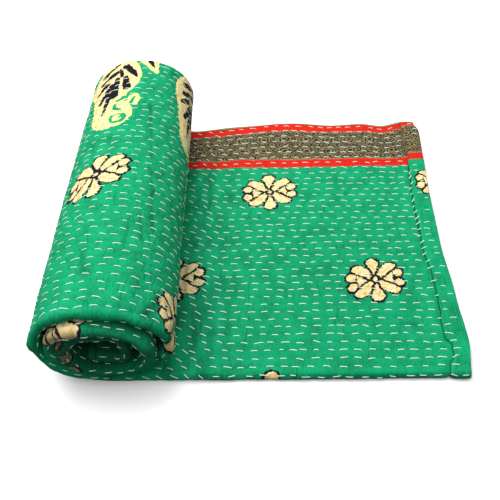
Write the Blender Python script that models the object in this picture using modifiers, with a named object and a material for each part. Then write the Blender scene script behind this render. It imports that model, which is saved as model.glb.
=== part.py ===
"""A hand-stitched cotton quilt, folded lengthwise into a band of four layers and rolled up.

The quilt is one sheet. Two tables say how it lies. FOLDS gives the four layers of the
band, one above the other, and WINDING gives the loose spiral that the band is rolled in,
from its flat tail on the floor to the free end inside the roll. A grid is laid over the
sheet, each of its points is placed by these tables, and Solidify gives the cloth its
thickness. Seen from the front the tail points right (+X) and the roll lies at the left,
with its axis along Y. The flat underside of the tail rests on z = 0.
"""

from collections import namedtuple
from math import pi

import bmesh
import bpy
import numpy as np

MM = 0.001

# The band: four layers of quilted cloth, a little apart
CLOTH_THICKNESS = 1.6 * MM
LAYER_GAP = 0.5 * MM
LAYER_PITCH = CLOTH_THICKNESS + LAYER_GAP
BAND_WIDTH = 380 * MM
BAND_THICKNESS = 4 * CLOTH_THICKNESS + 3 * LAYER_GAP
BAND_CENTRE = BAND_THICKNESS / 2

# The layers in the order in which one edge of the quilt is followed to the other. Level
# counts layer pitches from the middle of the band, up on the tail. A layer runs between
# the front and the rear fold, and margin is how far its rear end stands past the band.
Layer = namedtuple("Layer", "name level starts_at_rear margin")
FOLDS = (
    Layer("top, with the border", 1.5, True, 0 * MM),
    Layer("bottom", -1.5, False, 0 * MM),
    Layer("lower middle", -0.5, True, 0 * MM),
    Layer("upper middle", 0.5, False, 2 * MM),
)
LAYER_STEPS = (0.0, 0.12, 0.5, 0.84, 1.0)
WIDE_FOLD_STEPS = 6
TIGHT_FOLD_STEPS = 4

# The roll, as an ellipse that draws in by one pitch a turn on each of its four sides
TAIL_LENGTH = 338 * MM
ROLL_HALF_WIDTH = 68 * MM
ROLL_HALF_HEIGHT = 50.8 * MM
PITCH_LEFT = 13 * MM
PITCH_RIGHT = 16 * MM
PITCH_TOP = 12 * MM
PITCH_FLOOR = BAND_THICKNESS + 0.8 * MM
ROLL_TURNS = 2.5
STEPS_PER_TURN = 20
TAIL_STEP = 20 * MM

# The free end inside the roll, as arcs that follow the last turn
Arc = namedtuple("Arc", "length turn_degrees steps")
INNER_END = (
    Arc(4 * MM, 0, 1),
    Arc(28 * MM, 92, 5),
    Arc(10 * MM, 0, 1),
    Arc(20 * MM, 88, 5),
    Arc(24 * MM, 8, 2),
)

# At points counted in turns: how far the winding runs askew along the roll's axis, and
# how loosely the four layers lie, with 1 for layers that the roll's weight presses flat
Winding = namedtuple("Winding", "turns shift looseness")
WINDING = (
    Winding(-1.00, 0 * MM, 1.00),
    Winding(0.00, 0 * MM, 1.00),
    Winding(0.25, 0 * MM, 1.60),
    Winding(0.50, 1 * MM, 1.45),
    Winding(0.75, 4 * MM, 1.30),
    Winding(1.00, 5 * MM, 1.00),
    Winding(1.25, -2 * MM, 1.60),
    Winding(1.50, -10 * MM, 1.45),
    Winding(1.75, -9 * MM, 1.30),
    Winding(2.00, -6 * MM, 1.00),
    Winding(2.25, -6 * MM, 1.60),
    Winding(2.50, -4 * MM, 1.40),
    Winding(2.75, -2 * MM, 1.20),
    Winding(3.00, 2 * MM, 1.00),
    Winding(4.00, 2 * MM, 1.00),
)

# Unevenness of the roll: it leans at the front and stands higher and narrower at the rear
FRONT_LEAN = 0.11
REAR_RISE = 0.065
REAR_NARROWING = 0.07
LOOSE_HEIGHT = 20 * MM

# Unevenness of the tail: soft ridges across the band, waves of its rear edge, and a
# crooked end. Positions are measured from the tail's end, to the left.
Ridge = namedtuple("Ridge", "front_position slant width rise")
RIDGES = (
    Ridge(248 * MM, 24 * MM, 13 * MM, 0.26),
    Ridge(224 * MM, 20 * MM, 12 * MM, -0.12),
    Ridge(118 * MM, -10 * MM, 40 * MM, 0.08),
)
RearWave = namedtuple("RearWave", "position width rise reach")
REAR_WAVES = (
    RearWave(277 * MM, 24 * MM, -0.10, -8 * MM),
    RearWave(165 * MM, 40 * MM, 0.42, 3 * MM),
    RearWave(112 * MM, 22 * MM, 0.00, -2 * MM),
    RearWave(72 * MM, 20 * MM, 0.25, 0 * MM),
    RearWave(46 * MM, 16 * MM, 0.00, -4 * MM),
    RearWave(12 * MM, 18 * MM, 0.20, 3 * MM),
)
REAR_WAVE_DEPTH = 55 * MM
EndOffset = namedtuple("EndOffset", "across offset")
TAIL_END = (
    EndOffset(0.00, -2 * MM),
    EndOffset(0.10, 2 * MM),
    EndOffset(0.25, -1 * MM),
    EndOffset(0.45, -5 * MM),
    EndOffset(0.66, -5 * MM),
    EndOffset(0.84, -3 * MM),
    EndOffset(0.95, -2 * MM),
    EndOffset(1.00, -7 * MM),
)
TAIL_END_REACH = 70 * MM

CLOTH_COLOUR = (0.007, 0.42, 0.16, 1.0)
CLOTH_ROUGHNESS = 0.85
SHARP_EDGE_DEGREES = 40

# A unit grid runs from minus this to plus this
GRID_HALF = 0.5
QUARTER_TURN = 90


def clear_scene():
    """Remove every object, so the script gives the same scene on each run."""
    for existing in list(bpy.data.objects):
        bpy.data.objects.remove(existing, do_unlink=True)


def smooth_table(rows, column, at):
    """Read a column of a table at places along its first column, easing between rows."""
    positions = np.array([row[0] for row in rows])
    values = np.array([getattr(row, column) for row in rows])
    place = np.interp(at, positions, np.arange(len(rows)))
    start = np.clip(np.floor(place).astype(int), 0, len(rows) - 2)
    part = place - start
    ease = part * part * (3 - 2 * part)
    return values[start] + (values[start + 1] - values[start]) * ease


def fold_arc(centre, level, radius, start, sweep, steps):
    """Points inside a half-round fold without its ends: centre, reach past it, height."""
    angle = np.radians(start) + np.radians(sweep) * np.arange(1, steps) / steps
    reach = radius * np.cos(angle)
    return np.stack([np.full_like(reach, centre), reach, level + radius * np.sin(angle)], 1)


def fold_path():
    """Follow the cloth across the band: rows of y, reach of a fold past y, and height."""
    front_centre = BAND_CENTRE
    rows = []
    for number, layer in enumerate(FOLDS):
        level = layer.level * LAYER_PITCH
        rear_centre = BAND_WIDTH - LAYER_PITCH / 2 - CLOTH_THICKNESS / 2
        free_rear = number == 0 or number == len(FOLDS) - 1
        rear = BAND_WIDTH + layer.margin if free_rear else rear_centre
        across = front_centre + (rear - front_centre) * np.array(LAYER_STEPS)
        if layer.starts_at_rear:
            across = across[::-1]
        flat = np.zeros_like(across)
        rows.append(np.stack([across, flat, flat + level], 1))
        if number == len(FOLDS) - 1:
            break
        next_level = FOLDS[number + 1].level * LAYER_PITCH
        radius = abs(next_level - level) / 2
        middle = (next_level + level) / 2
        rise = QUARTER_TURN if level > middle else -QUARTER_TURN
        steps = WIDE_FOLD_STEPS if radius > LAYER_PITCH else TIGHT_FOLD_STEPS
        if layer.starts_at_rear:
            rows.append(fold_arc(front_centre, middle, radius, rise, 2 * rise, steps))
        else:
            rows.append(fold_arc(rear_centre, middle, radius, rise, -2 * rise, steps))
    return np.concatenate(rows)


def tail_path():
    """The flat tail, from its end to under the roll: x, z, normal x, normal z, turns."""
    count = int(round(TAIL_LENGTH / TAIL_STEP))
    along = np.linspace(0, TAIL_LENGTH, count + 1)[:-1]
    flat = np.zeros_like(along)
    turns = (along - TAIL_LENGTH) / (2 * pi * ROLL_HALF_WIDTH)
    return np.stack([-along, flat + BAND_CENTRE, flat, flat + 1, turns], 1)


def roll_path():
    """The turns of the roll, as an ellipse read by the direction of its normal."""
    count = int(round(ROLL_TURNS * STEPS_PER_TURN))
    turns = np.arange(count + 1) / STEPS_PER_TURN
    outward_x = -np.sin(2 * pi * turns)
    outward_z = -np.cos(2 * pi * turns)
    half_width = ROLL_HALF_WIDTH - (PITCH_LEFT + PITCH_RIGHT) / 2 * turns
    half_height = ROLL_HALF_HEIGHT - (PITCH_TOP + PITCH_FLOOR) / 2 * turns
    centre_x = -TAIL_LENGTH + (PITCH_LEFT - PITCH_RIGHT) / 2 * turns
    centre_z = BAND_CENTRE + PITCH_FLOOR * turns + half_height
    reach = np.hypot(half_width * outward_x, half_height * outward_z)
    x = centre_x + half_width**2 * outward_x / reach
    z = centre_z + half_height**2 * outward_z / reach
    return np.stack([x, z, -outward_x, -outward_z, turns], 1)


def inner_end_path(last):
    """Arcs from the last station of the roll to the free end of the quilt inside it."""
    x, z, normal_x, normal_z, turns = last
    heading = np.arctan2(normal_x, -normal_z)
    rows = []
    for arc in INNER_END:
        step = arc.length / arc.steps
        bend = np.radians(arc.turn_degrees) / arc.steps
        for _ in range(arc.steps):
            heading -= bend / 2
            x += step * np.cos(heading)
            z += step * np.sin(heading)
            heading -= bend / 2
            turns += bend / (2 * pi)
            rows.append((x, z, np.sin(heading), -np.cos(heading), turns))
    return np.array(rows)


def winding_path():
    """All stations of the band's centre line, from the tail's end to the inner end."""
    tail = tail_path()
    roll = roll_path()
    return np.concatenate([tail, roll, inner_end_path(roll[-1])])


def bell(distance, width):
    """A smooth bump of height one."""
    return np.exp(-((distance / width) ** 2))


def settle(x, y, z, turns):
    """Make the ideal roll as uneven as cloth is: askew, leaning, tapered and ridged."""
    across = np.clip(y / BAND_WIDTH, 0, 1)
    y = y + smooth_table(WINDING, "shift", turns)

    height = 2 * ROLL_HALF_HEIGHT
    above = np.clip(z - BAND_THICKNESS, 0, None)
    from_axis = x + TAIL_LENGTH
    loose = np.clip(above / LOOSE_HEIGHT, 0, 1)
    z = z + above * (REAR_RISE * across - FRONT_LEAN * (1 - across) * from_axis / height)
    x = x - from_axis * loose * REAR_NARROWING * across

    on_tail = np.clip(-turns * 2 * pi * ROLL_HALF_WIDTH / LOOSE_HEIGHT, 0, 1)
    swell = np.zeros_like(z)
    for ridge in RIDGES:
        swell += ridge.rise * bell(x + ridge.front_position + ridge.slant * across, ridge.width)
    near_rear = bell(BAND_WIDTH - np.clip(y, 0, BAND_WIDTH), REAR_WAVE_DEPTH)
    reach = np.zeros_like(y)
    for wave in REAR_WAVES:
        bump = bell(x + wave.position, wave.width) * near_rear
        swell += wave.rise * bump
        reach += wave.reach * bump
    y = y + reach * on_tail
    flat_underside = CLOTH_THICKNESS / 2
    z = flat_underside + (z - flat_underside) * (1 + swell * on_tail)

    near_end = np.clip(1 + x / TAIL_END_REACH, 0, 1) ** 2
    x = x + smooth_table(TAIL_END, "offset", across) * near_end * on_tail
    return x, y, z


def make_quilt():
    """Lay a grid over the quilt, place its points, and thicken it."""
    stations = winding_path()
    across = fold_path()
    columns_last = len(stations) - 1
    rows_last = len(across) - 1
    mesh = bpy.data.meshes.new("quilt")
    grid = bmesh.new()
    bmesh.ops.create_grid(grid, x_segments=columns_last, y_segments=rows_last, size=GRID_HALF)
    columns = np.rint([(v.co.x + GRID_HALF) * columns_last for v in grid.verts]).astype(int)
    rows = np.rint([(v.co.y + GRID_HALF) * rows_last for v in grid.verts]).astype(int)
    centre_x, centre_z, normal_x, normal_z, turns = stations[columns].T
    fold_centre, reach, level = across[rows].T
    looseness = smooth_table(WINDING, "looseness", turns)
    y = fold_centre + reach * looseness
    height = level * looseness
    placed = settle(centre_x + normal_x * height, y, centre_z + normal_z * height, turns)
    for vertex, point in zip(grid.verts, np.stack(placed, 1)):
        vertex.co = point
    bmesh.ops.recalc_face_normals(grid, faces=grid.faces)
    grid.to_mesh(mesh)
    grid.free()

    quilt = bpy.data.objects.new("quilt", mesh)
    solidify = quilt.modifiers.new("Cloth thickness", "SOLIDIFY")
    solidify.thickness = CLOTH_THICKNESS
    solidify.offset = 0
    solidify.use_even_offset = True
    return quilt


def cotton_material():
    """Green quilted cotton."""
    material = bpy.data.materials.new("Quilted cotton")
    material.use_nodes = True
    shader = material.node_tree.nodes["Principled BSDF"]
    shader.inputs["Base Color"].default_value = CLOTH_COLOUR
    shader.inputs["Roughness"].default_value = CLOTH_ROUGHNESS
    shader.inputs["Metallic"].default_value = 0.0
    return material


def centre_on_floor(quilt):
    """Move the quilt so that the middle of its underside is at the origin."""
    bpy.context.view_layer.update()
    evaluated = quilt.evaluated_get(bpy.context.evaluated_depsgraph_get())
    corners = np.array([tuple(corner) for corner in evaluated.bound_box])
    low, high = corners.min(0), corners.max(0)
    quilt.location = (-(low[0] + high[0]) / 2, -(low[1] + high[1]) / 2, -low[2])


def main():
    """Build the quilt in a collection of its own."""
    clear_scene()
    collection = bpy.data.collections.new("Rolled quilt")
    bpy.context.scene.collection.children.link(collection)
    quilt = make_quilt()
    quilt.data.materials.append(cotton_material())
    quilt.data.shade_smooth()
    quilt.data.set_sharp_from_angle(angle=np.radians(SHARP_EDGE_DEGREES))
    collection.objects.link(quilt)
    centre_on_floor(quilt)


if __name__ == "__main__":
    main()
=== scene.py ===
"""Dresses the rolled quilt in the finish of a hand-stitched, printed cotton throw.

The cloth follows the folds of the solid: four layers, one above the other, that are rolled
up from one end. Distances on the cloth are counted as along, from the hem at the tail's end
towards the roll's middle, and across, from the rear edge of the top layer round the front
fold to the bottom layer and on through the two layers between them.
"""

import logging
from dataclasses import dataclass
from math import cos, pi, radians, sin
from typing import Callable

import bpy
import numpy as np
from mathutils import Matrix, Vector


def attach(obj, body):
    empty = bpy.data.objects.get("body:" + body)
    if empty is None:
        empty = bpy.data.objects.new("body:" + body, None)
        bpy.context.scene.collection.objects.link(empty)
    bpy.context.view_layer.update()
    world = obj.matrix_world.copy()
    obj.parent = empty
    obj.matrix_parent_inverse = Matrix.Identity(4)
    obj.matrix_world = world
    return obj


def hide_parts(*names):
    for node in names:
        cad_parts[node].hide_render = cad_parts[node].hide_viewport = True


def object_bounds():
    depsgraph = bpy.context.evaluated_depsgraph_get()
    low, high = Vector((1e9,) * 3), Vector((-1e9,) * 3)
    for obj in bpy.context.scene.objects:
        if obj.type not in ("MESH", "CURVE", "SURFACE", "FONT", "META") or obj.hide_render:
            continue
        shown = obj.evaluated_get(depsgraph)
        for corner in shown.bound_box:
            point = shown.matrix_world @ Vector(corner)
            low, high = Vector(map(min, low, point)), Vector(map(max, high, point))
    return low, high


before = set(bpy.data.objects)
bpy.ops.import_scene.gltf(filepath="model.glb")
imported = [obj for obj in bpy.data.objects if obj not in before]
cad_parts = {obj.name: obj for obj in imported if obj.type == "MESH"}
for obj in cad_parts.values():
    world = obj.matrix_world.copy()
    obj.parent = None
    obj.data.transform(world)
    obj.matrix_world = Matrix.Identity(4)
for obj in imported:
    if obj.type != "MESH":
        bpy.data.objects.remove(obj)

LOG = logging.getLogger("quilt")
CAD_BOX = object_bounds()
MM = 0.001

Pair = tuple[float, float]
Array = np.ndarray
Piece = bpy.types.Object
Material = bpy.types.Material
Socket = bpy.types.NodeSocket
Tree = bpy.types.NodeTree

# The band of four layers
CLOTH_THICKNESS = 1.6 * MM
LAYER_PITCH = 2.1 * MM
BAND_WIDTH = 380 * MM
BAND_THICKNESS = 7.9 * MM
BAND_CENTRE = BAND_THICKNESS / 2
SLIVER = 4.8 * MM

# The roll
TAIL_LENGTH = 338 * MM
ROLL_HALF_WIDTH = 68 * MM
ROLL_HALF_HEIGHT = 50.8 * MM
PITCH_LEFT = 13 * MM
PITCH_RIGHT = 16 * MM
PITCH_TOP = 12 * MM
PITCH_FLOOR = BAND_THICKNESS + 0.8 * MM
ROLL_TURNS = 2.5
FRONT_LEAN = 0.11
REAR_RISE = 0.065
REAR_NARROWING = 0.07
LOOSE_HEIGHT = 20 * MM

# Where the cloth turns under at the front fold, and up again at the rear fold
FRONT_TURN = 386 * MM
REAR_TURN = 770 * MM

# The quilt laid flat, and how far the solid reaches past the tail's corner
CORNER_REACH = 1.715 * MM
FRONT_REACH = 11.447 * MM

# Running stitch
ROW_PITCH = 9.6 * MM
FIRST_ROW = 4.8 * MM
STITCH_PITCH = 13.6 * MM
STITCH_LENGTH = 7.2 * MM
THREAD_RADIUS = 0.48 * MM


@dataclass(frozen=True)
class Arc:
    """A stretch of the band's line that turns evenly."""

    length: float
    turn_degrees: float


@dataclass(frozen=True)
class Ridge:
    """A soft ridge across the tail, or with a negative rise a trough."""

    front_position: float
    slant: float
    width: float
    rise: float


@dataclass(frozen=True)
class RearWave:
    """A wave in the tail's rear edge."""

    position: float
    width: float
    rise: float
    reach: float


@dataclass(frozen=True)
class Curve:
    """A value that is given at a few places and eases between them.

    Attributes:
        places: Where it is given, in order.
        values: What it is there.
        place_unit: What a place is multiplied by.
        value_unit: What a value is multiplied by.
    """

    places: tuple[float, ...]
    values: tuple[float, ...]
    place_unit: float = MM
    value_unit: float = MM

    def at(self, wanted: Array) -> Array:
        """Read the value: between two places it goes from one to the other as 3t^2 - 2t^3.

        Args:
            wanted: The places to read it at.

        Returns:
            The values, in the shape of wanted.
        """
        values = np.array(self.values) * self.value_unit
        number = np.interp(wanted, np.array(self.places) * self.place_unit, np.arange(len(values)))
        start = np.clip(np.floor(number).astype(int), 0, len(values) - 2)
        part = number - start
        return values[start] + (values[start + 1] - values[start]) * part * part * (3 - 2 * part)


def bell(distance: Array, width: float) -> Array:
    """A smooth bump of height one: e to the minus square of distance over width."""
    return np.exp(-((distance / width) ** 2))


@dataclass(frozen=True)
class Unevenness:
    """Smooth random values, as hand work and soft cloth have.

    Random values stand on a lattice, and between its points they are eased as 3t^2 - 2t^3.

    Attributes:
        reach: How far they go up and down.
        cell_along: The lattice's spacing along the cloth.
        cell_across: Its spacing across.
        seed: Which random values to use.
        lattice_size: How many values each way, before they come again.
    """

    reach: float
    cell_along: float
    cell_across: float
    seed: int
    lattice_size: int = 96

    def at(self, along: Array, across: Array) -> Array:
        """Work out the values at places on the cloth.

        Args:
            along: Distances along the cloth.
            across: Distances across it, in the same shape.

        Returns:
            The values, in the shape of along.
        """
        size = self.lattice_size
        lattice = np.random.default_rng(self.seed).uniform(-1, 1, (size, size))
        first, second = along / self.cell_along, across / self.cell_across
        i, j = np.floor(first).astype(int), np.floor(second).astype(int)
        t, u = first - i, second - j
        t, u = t * t * (3 - 2 * t), u * u * (3 - 2 * u)
        i0, i1, j0, j1 = i % size, (i + 1) % size, j % size, (j + 1) % size
        near = lattice[i0, j0] + (lattice[i1, j0] - lattice[i0, j0]) * t
        far = lattice[i0, j1] + (lattice[i1, j1] - lattice[i0, j1]) * t
        return self.reach * (near + (far - near) * u)


@dataclass(frozen=True)
class Crease:
    """A soft trough between two points of the cloth."""

    along_start: float
    across_start: float
    along_end: float
    across_end: float
    width: float
    depth: float

    def cover(self, along: Array, across: Array) -> Array:
        """How much of the crease's depth a place has: a bell aside of its line and past its ends."""
        run = np.array([self.along_end - self.along_start, self.across_end - self.across_start])
        length = float(np.hypot(*run))
        from_start = np.stack([along - self.along_start, across - self.across_start], -1)
        share = (from_start @ run) / length**2
        aside = (from_start[..., 0] * run[1] - from_start[..., 1] * run[0]) / length
        past = np.clip(np.abs(share - 0.5) - 0.5, 0, None) * length
        return bell(aside, self.width) * bell(past, CREASE_FADE)


def from_millimetres(kind: type, *rows: tuple[float, ...]) -> tuple:
    """Make one object of a kind from each row of its values in millimetres."""
    return tuple(kind(*(value * MM for value in row)) for row in rows)


# The curled inner end of the roll, from the last full turn on
INNER_END = (
    Arc(4 * MM, 0),
    Arc(28 * MM, 92),
    Arc(10 * MM, 0),
    Arc(20 * MM, 88),
    Arc(24 * MM, 8),
)

# How loosely the layers lie and how far the winding runs askew, by turns of the roll
QUARTER_TURNS = (-1, 0, 0.25, 0.5, 0.75, 1, 1.25, 1.5, 1.75, 2, 2.25, 2.5, 2.75, 3, 4)
LOOSENESS = Curve(QUARTER_TURNS, (1, 1, 1.6, 1.45, 1.3, 1, 1.6, 1.45, 1.3, 1, 1.6, 1.4, 1.2, 1, 1), 1, 1)
ROLL_SHIFT = Curve(QUARTER_TURNS, (0, 0, 0, 1, 4, 5, -2, -10, -9, -6, -6, -4, -2, 2, 2), 1, MM)

# Ridges across the tail, and waves in its rear edge
RIDGES = (
    Ridge(248 * MM, 24 * MM, 13 * MM, 0.26),
    Ridge(224 * MM, 20 * MM, 12 * MM, -0.12),
    Ridge(118 * MM, -10 * MM, 40 * MM, 0.08),
)
REAR_WAVES = (
    RearWave(277 * MM, 24 * MM, -0.10, -8 * MM),
    RearWave(165 * MM, 40 * MM, 0.42, 3 * MM),
    RearWave(112 * MM, 22 * MM, 0.00, -2 * MM),
    RearWave(72 * MM, 20 * MM, 0.25, 0 * MM),
    RearWave(46 * MM, 16 * MM, 0.00, -4 * MM),
    RearWave(12 * MM, 18 * MM, 0.20, 3 * MM),
)
REAR_WAVE_DEPTH = 55 * MM

# How far the tail's end stands out, by the share of the band's width
TAIL_END = Curve((0, 0.1, 0.25, 0.45, 0.66, 0.84, 0.95, 1), (-2, 2, -1, -5, -5, -3, -2, -7), 1, MM)
TAIL_END_REACH = 70 * MM

# Where the hem's inner edge lies, by the place across, and the stitches' lean in degrees, by
# the place along
HEM_EDGE = Curve(
    (-10, 60, 107, 146, 183, 223, 255, 294, 326, 337, 346, 358, 372, 400),
    (19, 18.6, 20, 21, 20.2, 20.6, 18, 17.8, 20.2, 20, 14.5, 13.8, 18.5, 20.2),
)
STITCH_LEAN = Curve((0, 20, 235, 262, 300, 350, 1200), (2, -4, -4, -32, -22, 0, 0), MM, 1)

# Creases on the roll and on the tail, in millimetres: where one starts and ends, along and
# across, its width and its depth; and the zone where the roll's are close together
CREASES = from_millimetres(
    Crease,
    (535, 674, 537, 652, 1.8, 1.0), (538, 643, 540, 629, 1.8, 0.9), (541, 612, 543, 594, 2.0, 0.5),
    (545, 566, 549, 538, 2.0, 0.6), (550, 522, 553, 496, 2.0, 0.7), (540, 508, 545, 474, 1.8, 0.6),
    (530, 491, 530, 463, 1.8, 0.6), (493, 456, 499, 430, 2.6, 0.9), (476, 620, 481, 598, 2.6, 0.6),
    (566, 412, 556, 392, 4, 1.4), (596, 404, 588, 388, 3.4, 1.2), (254, 60, 262, 180, 5, 0.6),
    (277, 236, 281, 318, 4, 0.9), (261, 262, 256, 330, 5, 0.7), (226, 236, 224, 300, 4, 0.5),
    (150, 210, 143, 262, 4, 0.5),
)
CREASED = (526 * MM, 558 * MM)
CREASE_FADE = 6 * MM

# What is uneven in the rows, the face, the front lip, the hem and the print
ROW_WANDER = Unevenness(1.1 * MM, 95 * MM, 48 * MM, 3)
PUCKERS = Unevenness(0.38 * MM, 6.5 * MM, 13 * MM, 5)
SOFTNESS = Unevenness(0.6 * MM, 34 * MM, 52 * MM, 7)
LIP_LUMPS = Unevenness(2.3 * MM, 11 * MM, 26 * MM, 9)
CRUMPLES = Unevenness(1, 8 * MM, 34 * MM, 17)
HEM_WAVE = Unevenness(0.5 * MM, 9 * MM, 1, 21)
HEM_SOFTNESS = Unevenness(0.15 * MM, 7 * MM, 9 * MM, 31)
PRINT_SWAY_ALONG = Unevenness(1.5 * MM, 60 * MM, 60 * MM, 11)
PRINT_SWAY_ACROSS = Unevenness(2.3 * MM, 38 * MM, 90 * MM, 13)

# Where and how much painted shade darkens the cloth: in creases and crumples, on the tail's
# middle, towards the roll's core and in the gap beside the hem
CREASE_FULL_SHADE = 1.7 * MM
# Painted shadow on the tail's middle, as if the roll's soft shadow fell there
TAIL_SHADOW_MIDDLE = (165 * MM, 270 * MM)
TAIL_SHADOW_WIDTH = 150 * MM
TAIL_SHADOW_SHARE = 0.17
# Painted shade towards the roll's core, where little light falls
CORE_START = 700 * MM
CORE_EASE = 260 * MM
CORE_SHARE = 0.75
# Painted shade in the gap beside the hem's inner edge
GAP_OFFSET = 0.3 * MM
GAP_WIDTHS = (2.3 * MM, 1.3 * MM)
GAP_FADE_START = 66 * MM
GAP_FADE_EASE = 20 * MM
GAP_LEAST = 0.3

# The first points in from a free edge, and how far the reverse's print is moved, in
# millimetres, so that it is plain
FREE_EDGE = np.array([0.0, 0.35, 1.0]) * MM
REVERSE_SHIFT = np.array([0.0, 4000.0, 0.0])

# The hem's strip, the part of it that is sewn, and the trough beside it
HEM_THICKNESS = 1.5 * MM
HEM_STEP = 1.0 * MM
HEM_FRONT_END = 388 * MM
HEM_FRONT_EASE = 9 * MM
HEM_REAR_EASE = 3 * MM
HEM_SEWN = (92 * MM, 252 * MM)
TROUGH_WIDTH = 2.4 * MM
TROUGH_DEPTH = 1.3 * MM


def unit(vectors: Array) -> Array:
    """The vectors, each made one long."""
    return vectors / np.maximum(np.linalg.norm(vectors, axis=-1, keepdims=True), 1e-12)


def on_floor(points: Array) -> Array:
    """The points, with those under the floor raised to it."""
    return np.stack([points[..., 0], points[..., 1], np.maximum(points[..., 2], 0)], -1)


@dataclass(frozen=True)
class Band:
    """The section across the four layers, as one line from edge to edge of the quilt.

    A layer is a straight run, and a fold is a half circle between two layers.
    """

    fold_steps: int = 16

    def line(self) -> Array:
        """Work out the line's points.

        Returns:
            Rows of distance across the cloth, y of the fold's centre, reach past it, and level.
        """
        front = BAND_CENTRE
        rear_fold = BAND_WIDTH - LAYER_PITCH / 2 - CLOTH_THICKNESS / 2
        top, bottom = 1.5 * LAYER_PITCH, -1.5 * LAYER_PITCH
        lower, upper = -0.5 * LAYER_PITCH, 0.5 * LAYER_PITCH
        sweep = np.linspace(0, pi, self.fold_steps + 1)
        wide = self._fold(front, 0.0, top, sweep, -1)
        rear = self._fold(rear_fold, (bottom + lower) / 2, bottom - (bottom + lower) / 2, sweep, 1)
        inner = self._fold(front, 0.0, lower, sweep, -1)
        first = np.array([[BAND_WIDTH, 0, top]])
        last = np.array([[BAND_WIDTH + SLIVER, 0, upper]])
        points = np.concatenate([first, wide, rear, inner, last])
        steps = np.hypot(np.diff(points[:, 0] + points[:, 1]), np.diff(points[:, 2]))
        return np.column_stack([np.concatenate([[0], np.cumsum(steps)]), points])

    @staticmethod
    def _fold(centre: float, middle: float, rise: float, sweep: Array, outward: int) -> Array:
        """A half circle: reach is the radius times sine, and height its radius times cosine."""
        reach = outward * abs(rise) * np.sin(sweep)
        return np.column_stack([np.full_like(sweep, centre), reach, middle + rise * np.cos(sweep)])


@dataclass(frozen=True)
class CentreLine:
    """The line that the middle of the band follows, from the tail's end to the roll's middle."""

    steps_per_turn: int = 240
    tail_steps: int = 170
    arc_steps: int = 30

    def line(self) -> Array:
        """Work out the line's points.

        The roll is an ellipse that draws in by one pitch a turn on each of its four sides,
        read by the direction of its normal. The inner end is a chain of circular arcs.

        Returns:
            Rows of distance along, x, z, normal x, normal z, and turns.
        """
        along = np.linspace(0, TAIL_LENGTH, self.tail_steps + 1)[:-1]
        flat = np.zeros_like(along)
        tail_turns = (along - TAIL_LENGTH) / (2 * pi * ROLL_HALF_WIDTH)
        tail = np.column_stack([-along, flat + BAND_CENTRE, flat, flat + 1, tail_turns])

        turns = np.linspace(0, ROLL_TURNS, int(ROLL_TURNS * self.steps_per_turn) + 1)
        out_x, out_z = -np.sin(2 * pi * turns), -np.cos(2 * pi * turns)
        half_width = ROLL_HALF_WIDTH - (PITCH_LEFT + PITCH_RIGHT) / 2 * turns
        half_height = ROLL_HALF_HEIGHT - (PITCH_TOP + PITCH_FLOOR) / 2 * turns
        centre_x = -TAIL_LENGTH + (PITCH_LEFT - PITCH_RIGHT) / 2 * turns
        centre_z = BAND_CENTRE + PITCH_FLOOR * turns + half_height
        size = np.hypot(half_width * out_x, half_height * out_z)
        x, z = centre_x + half_width**2 * out_x / size, centre_z + half_height**2 * out_z / size
        roll = np.column_stack([x, z, -out_x, -out_z, turns])

        points = np.concatenate([tail, roll, self._inner_end(roll[-1])])
        steps = np.hypot(np.diff(points[:, 0]), np.diff(points[:, 1]))
        return np.column_stack([np.concatenate([[0], np.cumsum(steps)]), points])

    def _inner_end(self, last: Array) -> Array:
        """Chain the arcs: the heading falls evenly, and x and z add up its cosine and sine."""
        x, z, normal_x, normal_z, turns = last
        count = self.arc_steps
        steps = np.repeat([arc.length / count for arc in INNER_END], count)
        bends = np.repeat([radians(arc.turn_degrees) / count for arc in INNER_END], count)
        heading = np.arctan2(normal_x, -normal_z) - np.cumsum(bends)
        middle = heading + bends / 2
        x = x + np.cumsum(steps * np.cos(middle))
        z = z + np.cumsum(steps * np.sin(middle))
        turns = turns + np.cumsum(bends) / (2 * pi)
        return np.column_stack([x, z, np.sin(heading), -np.cos(heading), turns])


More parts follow.
